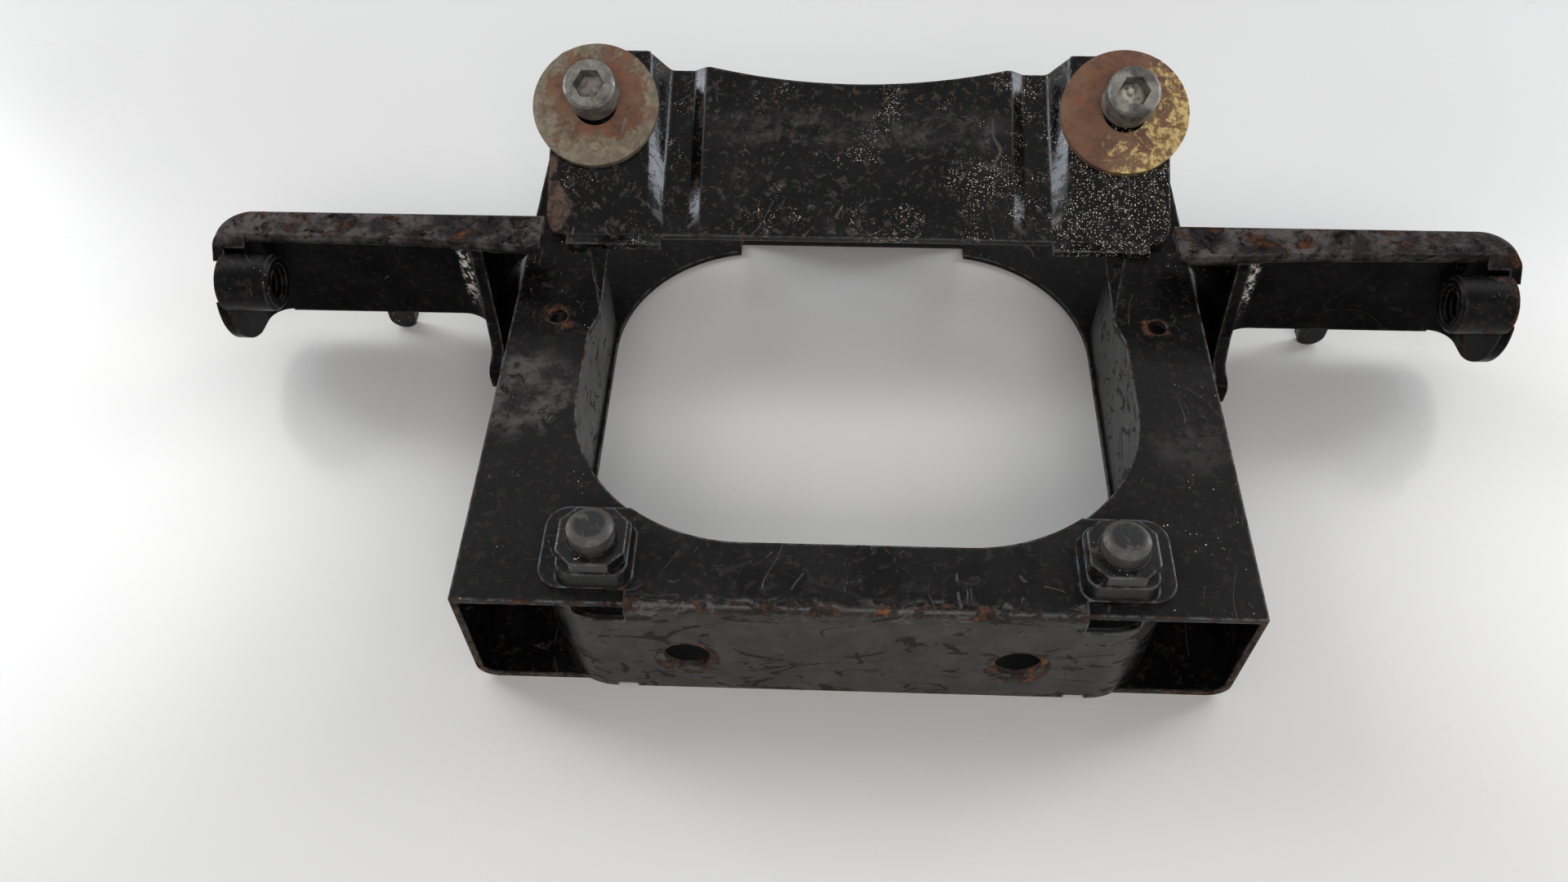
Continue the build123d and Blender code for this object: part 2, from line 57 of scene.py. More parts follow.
lens = bpy.data.cameras.new("studio_camera")
lens.lens = LENS_MM
lens.sensor_width = SENSOR_MM
lens.clip_start = 0.005
lens.clip_end = 20.0
camera = bpy.data.objects.new("studio_camera", lens)
turn = Matrix((right, up, back)).transposed().to_4x4()
camera.matrix_world = Matrix.Translation(eye) @ turn
bpy.context.scene.collection.objects.link(camera)
bpy.context.scene.camera = camera
print("camera is", round(eye.length * 1000), "mm from the middle of the bracket")

# %% [markdown]
# A finish is a small network of nodes. Writing every node out in full hides the idea, so a helper
# class adds a node, sets or links its inputs, and hands back its output. It grows over the next four
# cells. The first part only does sums: it adds, multiplies, steps and mixes.


# %% Helper for sums
def metres(millimetres):
    return millimetres / 1000


def mm(*values):
    """A place or a step in millimetres, as Blender's metres."""
    return tuple(metres(v) for v in values)


class Sums:
    """A material in the making: each method adds nodes and gives back an output."""

    def __init__(self, name):
        self.material = bpy.data.materials.new(name)
        self.material.use_nodes = True
        self.tree = self.material.node_tree
        self.shader = self.tree.nodes["Principled BSDF"]
        self.place = self.add("ShaderNodeTexCoord").outputs["Object"]

    def add(self, kind, inputs=None, **settings):
        node = self.tree.nodes.new(kind)
        for key, value in settings.items():
            setattr(node, key, value)
        for key, value in (inputs or {}).items():
            self.put(node.inputs[key], value)
        return node

    def put(self, socket, value):
        if isinstance(value, bpy.types.NodeSocket):
            self.tree.links.new(value, socket)
        else:
            socket.default_value = value

    def math(self, operation, a, b=0.0):
        return self.add("ShaderNodeMath", {0: a, 1: b}, operation=operation).outputs[0]

    def plus(self, a, b):
        return self.math("ADD", a, b)

    def less(self, a, b):
        return self.math("SUBTRACT", a, b)

    def times(self, a, b):
        return self.math("MULTIPLY", a, b)

    def all(self, *masks):
        out = masks[0]
        for mask in masks[1:]:
            out = self.times(out, mask)
        return out

    def any(self, *masks):
        out = masks[0]
        for mask in masks[1:]:
            out = self.math("MAXIMUM", out, mask)
        return out

    def between(self, value, low, high, start=0.0, end=1.0):
        """A soft step: start at low, end at high. Low may also be the larger one."""
        inputs = {"Value": value, "From Min": low, "From Max": high, "To Min": start, "To Max": end}
        return self.add("ShaderNodeMapRange", inputs, interpolation_type="SMOOTHSTEP").outputs[0]

    def mix(self, share, under, over):
        node = self.add("ShaderNodeMix", {0: share}, data_type="RGBA")
        self.put(node.inputs[6], under)
        self.put(node.inputs[7], over)
        return node.outputs[2]

    def blend(self, share, under, over):
        """The same for plain numbers, such as roughness."""
        return self.add("ShaderNodeMix", {0: share, 2: under, 3: over}, data_type="FLOAT").outputs[0]


print("sums are ready")

# %% [markdown]
# The second part draws patterns: drifting patches, round specks and wandering lines. A patch is a
# noise cut off between two levels, a line is the place where a noise crosses its middle, and a speck
# is the core of a small random cell. All of them read Object coordinates, so they stay on the metal
# from every side.


# %% Helper for patterns
class Patterns(Sums):
    """Patterns that may lie anywhere on the bracket."""

    def mapped(self, stretch=(1, 1, 1), shift=(0, 0, 0)):
        inputs = {"Vector": self.place, "Scale": stretch, "Location": shift}
        return self.add("ShaderNodeMapping", inputs).outputs[0]

    def noise(self, scale, detail=4.0, rough=0.55, warp=0.0, **mapping):
        where = self.mapped(**mapping) if mapping else self.place
        inputs = {"Vector": where, "Scale": scale, "Detail": detail, "Roughness": rough, "Distortion": warp}
        return self.add("ShaderNodeTexNoise", inputs).outputs[0]

    def patches(self, low, high, **noise):
        """One where the noise is above high, nothing where it is below low."""
        return self.between(self.noise(**noise), low, high)

    def specks(self, scale, share, size, **mapping):
        """Round dots in a random share of small cells; each is about size cells wide."""
        where = self.mapped(**mapping)
        cells = self.add("ShaderNodeTexVoronoi", {"Vector": where, "Scale": scale})
        pick = self.add("ShaderNodeSeparateColor", {"Color": cells.outputs["Color"]}).outputs[0]
        chosen = self.math("LESS_THAN", pick, share)
        dot = self.between(cells.outputs["Distance"], size, size * 0.6)
        return self.all(chosen, dot)

    def lines(self, scale, width, gaps_from, **mapping):
        """Thin wandering lines: where a noise crosses its middle, with gaps."""
        field = self.noise(scale, detail=1.0, rough=0.4, warp=0.6, **mapping)
        off = self.math("ABSOLUTE", self.less(field, 0.5))
        line = self.between(off, width, width * 0.4)
        gaps = self.patches(gaps_from, gaps_from + 0.04, scale=scale * 2.3, detail=2.0, shift=(3, 1, 2))
        return self.all(line, gaps)


print("patterns are ready")

# %% [markdown]
# The third part knows where it is. Each piece's origin is the origin of the whole bracket, so a place
# in a finish is a place on the bracket, and a rust ring can be put exactly round a hole. Places are
# given in millimetres, as a maker would measure them.


# %% Helper for places
class Places(Patterns):
    """Masks at a place on the bracket. Every size and place here is in millimetres."""

    def near(self, point, reach, fade):
        """One close to a point, nothing further away than reach."""
        away = self.add("ShaderNodeVectorMath", {0: self.place, 1: mm(*point)}, operation="DISTANCE")
        return self.between(away.outputs["Value"], metres(reach), metres(reach - fade))

    def pair(self, point, reach, fade):
        """The same round a point and its mirror image on the bracket's other side."""
        x, y, z = point
        return self.any(self.near((-x, y, z), reach, fade), self.near((x, y, z), reach, fade))

    def axis(self, letter):
        return self.add("ShaderNodeSeparateXYZ", {"Vector": self.place}).outputs[letter]

    def along(self, letter, none_at, full_at):
        """Nothing at one place along an axis, one at the other, and soft between them."""
        return self.between(self.axis(letter), metres(none_at), metres(full_at))

    def outward(self, none_at, full_at):
        """The same by the distance from the middle, left and right alike."""
        return self.between(self.math("ABSOLUTE", self.axis("X")), metres(none_at), metres(full_at))

    def rounded(self, radius):
        """The surface's direction, as if its edges were rounded."""
        return self.add("ShaderNodeBevel", {"Radius": metres(radius)}, samples=4).outputs[0]

    def rims(self, radius):
        """One on sharp edges, nothing on flat places, where rounding changes no direction."""
        true = self.add("ShaderNodeNewGeometry").outputs["Normal"]
        same = self.add("ShaderNodeVectorMath", {0: self.rounded(radius), 1: true}, operation="DOT_PRODUCT")
        return self.between(same.outputs["Value"], 0.992, 0.88)


print("places are ready")

# %% [markdown]
# The last part lays one layer over another. A layer has a mask, a colour and a roughness. Where it
# covers bare metal it also switches the metal off, because paint, rust and dirt aren't metallic.
# Relief is added at the end in the same way, one height over the last.


# %% Helper for layers
class Finish(Places):
    """A surface built up in layers, each over the last."""

    def __init__(self, name):
        super().__init__(name)
        self.normal = None

    def start(self, colour, rough, metal=None):
        self.colour = colour
        self.rough = rough
        self.metal = metal

    def cover(self, mask, colour, rough, strength=1.0):
        """One more layer. Its strength thins the colour alone."""
        tinted = mask if strength == 1.0 else self.all(mask, strength)
        self.colour = self.mix(tinted, self.colour, colour)
        self.rough = self.blend(mask, self.rough, rough)
        if self.metal is not None:
            self.metal = self.blend(mask, self.metal, 0.0)

    def relief(self, height, depth, strength):
        """Raises the surface by height times depth, in millimetres, in looks only."""
        inputs = {"Height": height, "Distance": metres(depth), "Strength": strength}
        if self.normal is not None:
            inputs["Normal"] = self.normal
        self.normal = self.add("ShaderNodeBump", inputs).outputs[0]

    def finish(self, **fixed):
        self.put(self.shader.inputs["Base Color"], self.colour)
        self.put(self.shader.inputs["Roughness"], self.rough)
        self.put(self.shader.inputs["Normal"], self.normal)
        if self.metal is not None:
            self.put(self.shader.inputs["Metallic"], self.metal)
        for name, value in fixed.items():
            self.shader.inputs[name.replace("_", " ")].default_value = value
        return self.material


def dress(node, material):
    """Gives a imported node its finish."""
    slots = nodes[node].material_slots
    if not slots:
        nodes[node].data.materials.append(material)
    for slot in slots:
        slot.material = material
    print(node, "wears", material.name)


print("layers are ready")

# %% [markdown]
# Black paint on old steel is not one black. It drifts in tone, it is mottled with brown, and it is
# dull where it was rubbed. The colours come first, because every painted piece shares them. The
# darkest ones scatter almost no light, so what is seen on them is the gloss.

# %% Colours of paint and rust
BLACK = (0.0018, 0.0018, 0.0022, 1)
CHARCOAL = (0.0060, 0.0056, 0.0058, 1)
# Painted sheen: a grey that lifts the colour where the paint would mirror the pale room or table.
PAINTED_SHEEN_GREY = (0.0165, 0.0160, 0.0162, 1)
MOTTLE = (0.038, 0.027, 0.021, 1)
RUBBED = (0.040, 0.036, 0.034, 1)
SCRATCH = (0.085, 0.075, 0.065, 1)
# Painted highlight: the bright chips on the necks' bends stand in for light mirrored there.
CHIP_HIGHLIGHT = (0.58, 0.55, 0.50, 1)
# Pale grit, also used for the painted glints on the paint.
DUST_AND_GLINT = (0.66, 0.59, 0.49, 1)
FLAKE = (0.0075, 0.0060, 0.0052, 1)
# Dull and worn skin of paint, also used for patches of painted grey sheen.
DULL_SKIN_AND_SHEEN = (0.020, 0.017, 0.018, 1)
WORN_SKIN_AND_SHEEN = (0.080, 0.068, 0.066, 1)
# Bare steel on worn edges, partly a painted bluish highlight along them.
EDGE_STEEL_AND_HIGHLIGHT = (0.15, 0.155, 0.16, 1)
RUST_DARK = (0.022, 0.011, 0.0075, 1)
RUST = (0.075, 0.034, 0.019, 1)
RUST_BRIGHT = (0.20, 0.078, 0.030, 1)
ORANGE_RUST = (RUST_DARK, RUST, RUST_BRIGHT)
OLIVE_RUST = (RUST_DARK, (0.070, 0.050, 0.036, 1), (0.12, 0.068, 0.042, 1))
BROWN_SCAB = ((0.034, 0.022, 0.017, 1), (0.105, 0.062, 0.044, 1), (0.17, 0.105, 0.075, 1))
print("colours are mixed")

# %% [markdown]
# The lowest layers are the coat itself, the places where it has worn to a dull skin, and the places
# that were only rubbed. The same dull-skin layer also paints a grey sheen where a piece's paint
# mirrors bright surroundings. A mask is a function that is given the finish and hands back an
# output, so that each piece can say where its own wear and painted sheen lie. The seed shifts most
# of the patterns, because two pieces with the same specks in the same places look printed.


# %% Coat and wear
def base_coat(f, at, gloss, mottle, painted_sheen):
    drift = f.noise(60.0, detail=5.0, rough=0.6, **at)
    colour = f.mix(f.between(drift, 0.38, 0.66), BLACK, CHARCOAL)
    # Painted reflection: a grey lift of the colour where the paint mirrors bright surroundings.
    if painted_sheen:
        colour = f.mix(painted_sheen(f), colour, PAINTED_SHEEN_GREY)
    f.start(colour, f.blend(f.between(drift, 0.35, 0.65), gloss, gloss + 0.10))
    fleck = f.patches(0.545, 0.585, scale=430, detail=8.0, rough=0.75, warp=0.5, **at)
    f.cover(f.all(fleck, mottle), MOTTLE, 0.5)


# Real wear on some pieces and painted grey sheen on others, as each piece's mask says.
def worn_skin_and_sheen(f, where, seed):
    torn = f.patches(0.36, 0.52, scale=240, detail=7.0, rough=0.7, warp=0.4, shift=(seed, 3, 3))
    tone = f.patches(0.40, 0.60, scale=130, detail=6.0, rough=0.7, shift=(6, seed, 2))
    f.cover(f.all(where(f), torn), f.mix(tone, DULL_SKIN_AND_SHEEN, WORN_SKIN_AND_SHEEN), 0.42)


def rubbed_places(f, at, rubbed_from):
    dull = f.patches(rubbed_from, rubbed_from + 0.09, scale=95, detail=8.0, rough=0.68, warp=0.5, **at)
    f.cover(dull, RUBBED, 0.48, strength=0.7)


print("coat and wear are ready")

# %% [markdown]
# Over the coat come the damages with a sharp outline: flakes, scratches and bare edges, whose bluish
# grey is partly a painted edge highlight. Flakes and scratches hand their masks back, because the
# same masks later sink the surface there.


# %% Flakes, scratches and edges
def flaking(f, amount, seed):
    crack = f.lines(90, width=0.020, gaps_from=0.50, stretch=(0.45, 1.0, 1.0), shift=(4, seed, 1))
    lost = f.patches(0.585, 0.600, scale=120, detail=8.0, rough=0.72, warp=1.2,
                     stretch=(0.5, 1, 1.3), shift=(8, 3, seed))
    flake = f.all(f.any(crack, lost), amount)
    f.cover(flake, FLAKE, 0.75)
    return flake


def scratch_lines(f, width, seed):
    long = f.lines(46, width=width, gaps_from=0.55, stretch=(1.0, 0.55, 1.0), shift=(seed, 0, 0))
    fine = f.lines(120, width=width * 1.6, gaps_from=0.60, stretch=(1.0, 0.4, 1.0), shift=(0, seed, 7))
    scratch = f.any(long, fine)
    f.cover(scratch, SCRATCH, 0.45, strength=0.5)
    return scratch


# Worn edges, partly painted as a bluish edge highlight.
def worn_and_highlit_edges(f, amount):
    rim = f.all(f.rims(0.9), f.patches(0.36, 0.52, scale=260, detail=5.0, rough=0.7))
    steel_highlight_or_rust = f.mix(f.patches(0.46, 0.60, scale=330), EDGE_STEEL_AND_HIGHLIGHT, RUST)
    f.cover(f.all(rim, amount), steel_highlight_or_rust, 0.42)


print("flakes, scratches and edges are ready")

# %% [markdown]
# On top lie rust, bright chips of painted highlight, and pale specks that are partly grit and partly
# painted glints. Rust has ragged patches of its own. A piece's mask doesn't paint it, but lifts the
# patches towards a bar that they have to clear, so the edge of a rusty place stays ragged too.
# Painting the mask itself would leave a smooth disc.

# %% Rust, chips and specks
RUST_PULL = 0.42
RUST_BAR = 0.28


def ragged_share(f, patch, where, rust_from, softness):
    bar = rust_from + RUST_BAR
    return f.between(f.plus(patch, f.times(where(f), RUST_PULL)), bar, bar + softness)


def rust_patches(f, where, rust_from, rusts, seed):
    patch = f.noise(170, detail=9.0, rough=0.70, warp=0.4, shift=(seed, 5, seed))
    share = ragged_share(f, patch, where, rust_from, softness=0.07)
    dark, middle, bright = rusts
    tint = f.mix(f.patches(0.42, 0.58, scale=420, detail=6.0, rough=0.7), dark, middle)
    glow = f.patches(0.57, 0.68, scale=190, detail=6.0, rough=0.72, shift=(2, 2, 9))
    f.cover(share, f.mix(glow, tint, bright), 0.82)
    return share


# Painted highlight: bright chips that stand in for the light that a bend mirrors.
def painted_highlight_chips(f, where, seed):
    torn = f.patches(0.52, 0.55, scale=520, detail=8.0, rough=0.80, warp=0.4, shift=(seed, 9, 0))
    f.cover(f.all(where(f), torn), CHIP_HIGHLIGHT, 0.35)


# Pale specks, partly grit and partly painted glints on the paint.
def grit_and_glint_specks(f, at, amount, specks_from, where, seed):
    dot = f.any(f.specks(2300, amount, 0.34, **at), f.specks(1250, amount * 0.45, 0.27, **at))
    zone = f.noise(75, detail=5.0, rough=0.65, shift=(1 + seed, 0, 4))
    if where:
        zone = f.plus(zone, f.times(where(f), 0.12))
    f.cover(f.all(dot, f.between(zone, specks_from, specks_from + 0.12)), DUST_AND_GLINT, 0.30)


print("rust, chips and specks are ready")

# %% [markdown]
# The recipe stacks these layers from the coat upwards, and then adds the relief: brushed lumps, the
# crust of the rust, and sunken flakes and scratches. One recipe with a few dials suits all the
# painted pieces, and every piece turns the dials to its own state. Sheen is how strongly the paint
# mirrors, and gloss how blurred the mirror is: the lower, the sharper.


# %% Paint recipe
def paint_relief(f, at, lumps, seed, share, flake, scratch):
    f.normal = f.rounded(0.6)
    f.relief(f.noise(170, detail=3.0, rough=0.5, **at), 0.30, 0.5)
    f.relief(f.noise(620, detail=5.0, rough=0.62, shift=(seed, 1, 1)), 0.14, lumps)
    if share:
        f.relief(f.all(share, f.noise(900, detail=6.0, rough=0.7)), 0.5, 0.9)
    if flake:
        f.relief(f.all(flake, -1.0), 0.3, 0.8)
    f.relief(f.all(scratch, -1.0), 0.15, 0.6)


def old_paint(name, gloss, sheen=0.5, mottle=0.35, rubbed_from=0.60, specks=0.0, specks_from=0.46,
              specks_where=None, scratches=0.004, edges=0.5, bare=None, painted_sheen=None, rust=None,
              rust_from=0.60, rusts=ORANGE_RUST, flakes=0.0, highlight_chips=None, lumps=0.4, seed=0.0):
    """Worn black paint. bare, painted_sheen, rust, highlight_chips and specks_where are masks, or None."""
    f = Finish(name)
    at = {"shift": (seed, seed * 2, -seed)}
    base_coat(f, at, gloss, mottle, painted_sheen)
    if bare:
        worn_skin_and_sheen(f, bare, seed)
    rubbed_places(f, at, rubbed_from)
    flake = flaking(f, flakes, seed) if flakes else None
    scratch = scratch_lines(f, scratches, seed)
    worn_and_highlit_edges(f, edges)
    share = rust_patches(f, rust, rust_from, rusts, seed) if rust else None
    if highlight_chips:
        painted_highlight_chips(f, highlight_chips, seed)
    if specks:
        grit_and_glint_specks(f, at, specks, specks_from, specks_where, seed)
    paint_relief(f, at, lumps, seed, share, flake, scratch)
    return f.finish(IOR=1.5, Specular_IOR_Level=sheen)


print("paint recipe is ready")

# %% [markdown]
# The pressed rear plate is glossy, and it is the most speckled piece. Rust broke through along its
# lower bend and round the washers, and a brown scab covers its left lower corner. A rust mask is
# just the largest of a few soft balls and bands, each put at its place on the bracket.

# %% Rear mounting plate
SCREW_X = 66.8
SCREW_Y = 60.7
SCREW_Z = 53.1
SCREW = (SCREW_X, SCREW_Y, SCREW_Z)
UNDER_WASHER = 18.5
SCAB_LOW = (-79.5, 38, 37)
SCAB_HIGH = (-80, 47, 42)


def rear_plate_rust(f):
    scab = f.times(f.any(f.near(SCAB_LOW, 10.0, 4.0), f.near(SCAB_HIGH, 7.5, 5.0)), 1.35)
    rings = f.all(f.pair(SCREW, UNDER_WASHER, 3.0), 0.5)
    lower_bend = f.all(f.along("Z", 42, 36), 0.62)
    return f.any(scab, rings, lower_bend)


# These specks are partly painted glints.
def rear_specks(f):
    """More of the bright specks right of the middle, and most on the near part of the right pad."""
    right_half = f.along("X", -10, 45)
    right_pad = f.all(f.along("X", 52, 58), f.along("Y", 58, 50))
    return f.plus(f.less(f.times(right_half, 0.9), 0.2), f.times(right_pad, 1.6))


def rear_scuff(f):
    """The band across the upper middle where something rubbed the gloss off."""
    band = f.all(f.along("Y", 52, 57), f.along("Y", 66, 60))
    streaks = f.patches(0.40, 0.55, scale=75, detail=6.0, rough=0.7, stretch=(0.55, 1, 2))
    return f.all(band, f.outward(44, 30), streaks, 0.5)


rear_paint = old_paint("glossy_paint_rear_plate", gloss=0.11, sheen=0.27, mottle=0.9, specks=0.42,
                       specks_from=0.53, specks_where=rear_specks, scratches=0.0045, bare=rear_scuff,
                       rust=rear_plate_rust, rusts=BROWN_SCAB, lumps=0.35, seed=3.0)
dress("rear_mounting_plate", rear_paint)

# %% [markdown]
# The top sheet is duller than the plate behind it. A painted grey sheen lies on the legs and fades
# out towards the plate, for the pale room that the paint mirrors. Each leg has a painted grey
# reflection in torn patches, the edges are worn and partly painted with a bluish grey highlight, and
# rust lies round the two drain holes and on the front edge.

# %% Upper plate
TOP_Z = 33.0
LEFT_DRAIN = (-71.6, 4.4, TOP_Z)
RIGHT_DRAIN = (71.6, 4.4, TOP_Z)
# Painted reflection: the middles of the grey sheen patches on the two legs.
LEFT_SHEEN_PATCH = (-76, -20, TOP_Z)
RIGHT_SHEEN_PATCH = (74, -30, TOP_Z)


def upper_plate_rust(f):
    front_edge = f.all(f.along("Y", -73.5, -74.2), 0.7)
    return f.any(f.near(LEFT_DRAIN, 8.5, 5.0), f.near(RIGHT_DRAIN, 7.5, 5.0), front_edge)


def leg_sheen_patch(f):
    """A painted grey reflection on each leg, in torn patches like rubbed paint, the left one the larger and
    stronger.
    """
    patch = f.any(f.near(LEFT_SHEEN_PATCH, 15.0, 6.0), f.all(f.near(RIGHT_SHEEN_PATCH, 12.0, 8.0), 0.35))
    return f.all(patch, f.patches(0.40, 0.46, scale=110, detail=8.0, rough=0.72, warp=0.8), 0.85)


def leg_painted_sheen(f):
    """Painted grey sheen for the room that the legs mirror: full in front, fading out halfway along the
    legs.
    """
    wavy = f.times(f.less(f.noise(90, detail=5.0, rough=0.6, shift=(3, 3, 3)), 0.5), 0.02)
    return f.between(f.plus(f.axis("Y"), wavy), metres(-10), metres(2), 0.72, 0.0)


upper_paint = old_paint("satin_paint_upper_plate", gloss=0.20, sheen=0.08, mottle=0.38, rubbed_from=0.62,
                        specks=0.03, specks_from=0.52, scratches=0.003, edges=1.0, bare=leg_sheen_patch,
                        painted_sheen=leg_painted_sheen, rust=upper_plate_rust, lumps=0.6, seed=1.0)
dress("upper_plate", upper_paint)

# %% [markdown]
# The floor and the outer walls are one tray. Where the legs are cut open in front, the cut edges have
# lost their paint, and rust lies inside, more of it in the left leg.

# %% Lower shell
LEFT_LEG_FLOOR = (-71, -62, 1.5)
RIGHT_LEG_FLOOR = (74, -50, 1.5)


def lower_shell_rust(f):
    cut_edge = f.along("Y", -74.0, -74.5)
    left_floor = f.all(f.near(LEFT_LEG_FLOOR, 16, 10), 0.62)
    right_floor = f.all(f.near(RIGHT_LEG_FLOOR, 18, 14), 0.5)
    return f.any(cut_edge, left_floor, right_floor)


shell_paint = old_paint("satin_paint_lower_shell", gloss=0.28, sheen=0.15, rubbed_from=0.62, edges=0.8,
                        rust=lower_shell_rust, rust_from=0.58, rusts=OLIVE_RUST, seed=5.0)
dress("lower_shell", shell_paint)

# %% [markdown]
# The front wall has thick satin paint that has cracked and lifted in flakes. Its grey bloom is a
# painted sheen for the table that it mirrors, and the bend above it is chipped and rusty. Rust also
# lies along its foot and on the lower rims of the two round holes. A wall and its flange are one
# sheet, so they are told apart by how far forward they reach.

# %% Front cross member
LOW_RIM = (35.0, -76.0, 13.2)
WALL_FROM = -74.5
WALL_FULL = -75.2


def front_rust(f):
    rims = f.pair(LOW_RIM, 8.0, 1.2)
    bend = f.all(f.along("Z", 30.0, 33.0), f.along("Y", -71.5, -74.5), 0.85)
    foot = f.all(f.along("Z", 4.5, 1.0), 0.80)
    return f.any(rims, bend, foot)


def front_wear_and_sheen(f):
    """The wall below the bend gets thin grey patches of painted reflection, and the bend itself has worn
    chips.
    """
    # Painted reflection: the grey on the wall stands in for the table that it mirrors.
    wall = f.all(f.along("Y", WALL_FROM, WALL_FULL), f.along("Z", 31, 29), 0.30)
    chips = f.patches(0.50, 0.56, scale=260, detail=8.0, rough=0.75, warp=0.5, stretch=(0.6, 1, 1))
    bend = f.all(f.along("Y", -72.5, -73.5), f.along("Z", 29.5, 31.0), chips)
    return f.any(wall, bend)


def wall_painted_sheen(f):
    """Painted grey sheen on the front wall only, for the table that it mirrors."""
    return f.along("Y", WALL_FROM, WALL_FULL)


front_paint = old_paint("flaking_paint_front", gloss=0.25, sheen=0.26, bare=front_wear_and_sheen, painted_sheen=wall_painted_sheen,
                        edges=0.8, rust=front_rust, flakes=0.85, lumps=0.35, seed=2.0)
dress("front_cross_member", front_paint)

# %% [markdown]
# The arms stick out and take the knocks. Their top flanges have lost most of their paint to brown and
# orange rust, while the webs below them are still black and mirror next to nothing. The flange is
# told apart from the web by its height. The bend towards each leg carries a painted highlight in
# bright chips, for the light that the bend mirrors.


# %% Arms
def arm_top(f):
    """The flange on top of each arm."""
    return f.along("Z", 40.0, 41.8)


def arm_rust(f):
    ear = f.all(f.outward(152.5, 155.0), 0.70)
    neck = f.all(f.outward(105, 85), 0.30)
    return f.any(f.all(arm_top(f), 0.78), ear, neck)


def neck_highlight_chips(f):
    """A painted highlight in chips down the bend where each arm turns back to its leg."""
    band = f.all(f.outward(96.0, 97.5), f.outward(101.5, 100.0))
    return f.all(band, f.along("Z", 12, 18), f.along("Z", 39, 35))


arm_dials = {"gloss": 0.16, "sheen": 0.03, "mottle": 0.2, "scratches": 0.0015, "edges": 0.45,
             "bare": arm_top, "rust": arm_rust, "highlight_chips": neck_highlight_chips}
left_paint = old_paint("rusty_paint_left_arm", rubbed_from=0.64, rust_from=0.60, seed=7.0,
                       **arm_dials)
right_paint = old_paint("rusty_paint_right_arm", rubbed_from=0.62, rust_from=0.585, seed=11.0,
                        **arm_dials)
dress("left_arm", left_paint)
dress("right_arm", right_paint)

# %% [markdown]
# The braces behind the arms reach down to the table, and only their feet are rusty. The threaded
# bosses and the nuts belong to the painted pieces too. The bosses grow rustier outwards, and the nuts
# have most of their rust on the upper face.


# %% Braces, bosses and nuts
def brace_rust(f):
    return f.all(f.along("Z", 12, 1.5), 0.8)


def boss_rust(f):
    outside = f.outward(144, 150)
    return f.blend(outside, 0.35, 0.85)


def nut_rust(f):
    upper_face = f.along("Z", 41.2, 41.8)
    return f.blend(upper_face, 0.1, 0.55)


brace_paint = old_paint("worn_paint_braces", gloss=0.26, sheen=0.2, specks=0.05, edges=0.9,
                        rust=brace_rust, seed=9.0)
boss_paint = old_paint("rusty_paint_bosses", gloss=0.34, sheen=0.10, specks=0.02, edges=0.4,
                       rust=boss_rust, seed=6.0)
nut_paint = old_paint("worn_paint_nuts", gloss=0.12, rubbed_from=0.62, specks=0.04, edges=0.9,
                      rust=nut_rust, rust_from=0.62, seed=13.0)
dress("left_brace", brace_paint)
dress("right_brace", brace_paint)
dress("arm_thread_bosses", boss_paint)
dress("nut_plates", nut_paint)

# %% [markdown]
# The screws, the studs and the square nuts behind the plate are bare steel. Bare steel is metallic,
# and rust, dirt and paint are not, so each of their layers also switches the metal off.

# %% Steel recipe
STEEL_ROUGH = 0.45
STEEL_RUST_FROM = 0.56
STEEL_DARK = (0.07, 0.066, 0.062, 1)
STEEL_BROWN = (0.095, 0.048, 0.030, 1)
STEEL_ORANGE = (0.17, 0.066, 0.032, 1)


def old_steel(name, bare, rust, dirt=None, paint=None, seed=0.0):
    """Weathered steel. rust, dirt and paint are masks, and the last two may be None."""
    f = Finish(name)
    tone = f.noise(190, detail=7.0, rough=0.65, warp=0.3, shift=(seed, 0, 0))
    grain = f.patches(0.4, 0.6, scale=600, detail=5.0)
    f.start(f.mix(f.between(tone, 0.36, 0.62), STEEL_DARK, bare),
            f.blend(grain, STEEL_ROUGH, STEEL_ROUGH + 0.2),
            f.between(tone, 0.30, 0.60, 0.35, 0.85))
    patch = f.noise(230, detail=8.0, rough=0.68, warp=0.5, shift=(0, seed, 3))
    tint = f.mix(f.patches(0.40, 0.62, scale=480, detail=6.0, rough=0.7), STEEL_BROWN, STEEL_ORANGE)
    glow = f.patches(0.60, 0.72, scale=300, detail=6.0, rough=0.7, shift=(7, 7, 1))
    share = ragged_share(f, patch, rust, STEEL_RUST_FROM, softness=0.09)
    f.cover(share, f.mix(glow, tint, RUST_BRIGHT), 0.85)
    if dirt:
        f.cover(f.all(dirt(f), f.patches(0.35, 0.55, scale=700, detail=5.0)), DUST_AND_GLINT, 0.9)
    if paint:
        f.cover(paint(f), BLACK, 0.6)
    f.normal = f.rounded(0.3)
    f.relief(f.noise(850, detail=6.0, rough=0.7), 0.18, 0.8)
    return f.finish()


print("steel recipe is ready")

# %% [markdown]
# The screws are rusty where they enter the plate, and dirt has caked in their sockets, most in the
# right one. A stud's end keeps a torn patch of black paint. The studs and the square nuts may rust
# anywhere, so their mask is a plain number with no place.

# %% Screws, nuts and studs
SOCKET_Y = 56.3
SOCKET_Z = 60.2
STUD_END = (53.3, -64.0, 45.9)


def screw_rust(f):
    return f.all(f.pair(SCREW, 8.0, 3.0), 0.9)


def socket_dirt(f):
    """Dirt at the floor of each hexagon: a small ball in the head's middle."""
    left = f.near((-SCREW_X, SOCKET_Y, SOCKET_Z), 3.7, 1.5)
    right = f.near((SCREW_X, SOCKET_Y, SOCKET_Z), 3.7, 1.5)
    return f.any(f.all(left, 0.30), right)


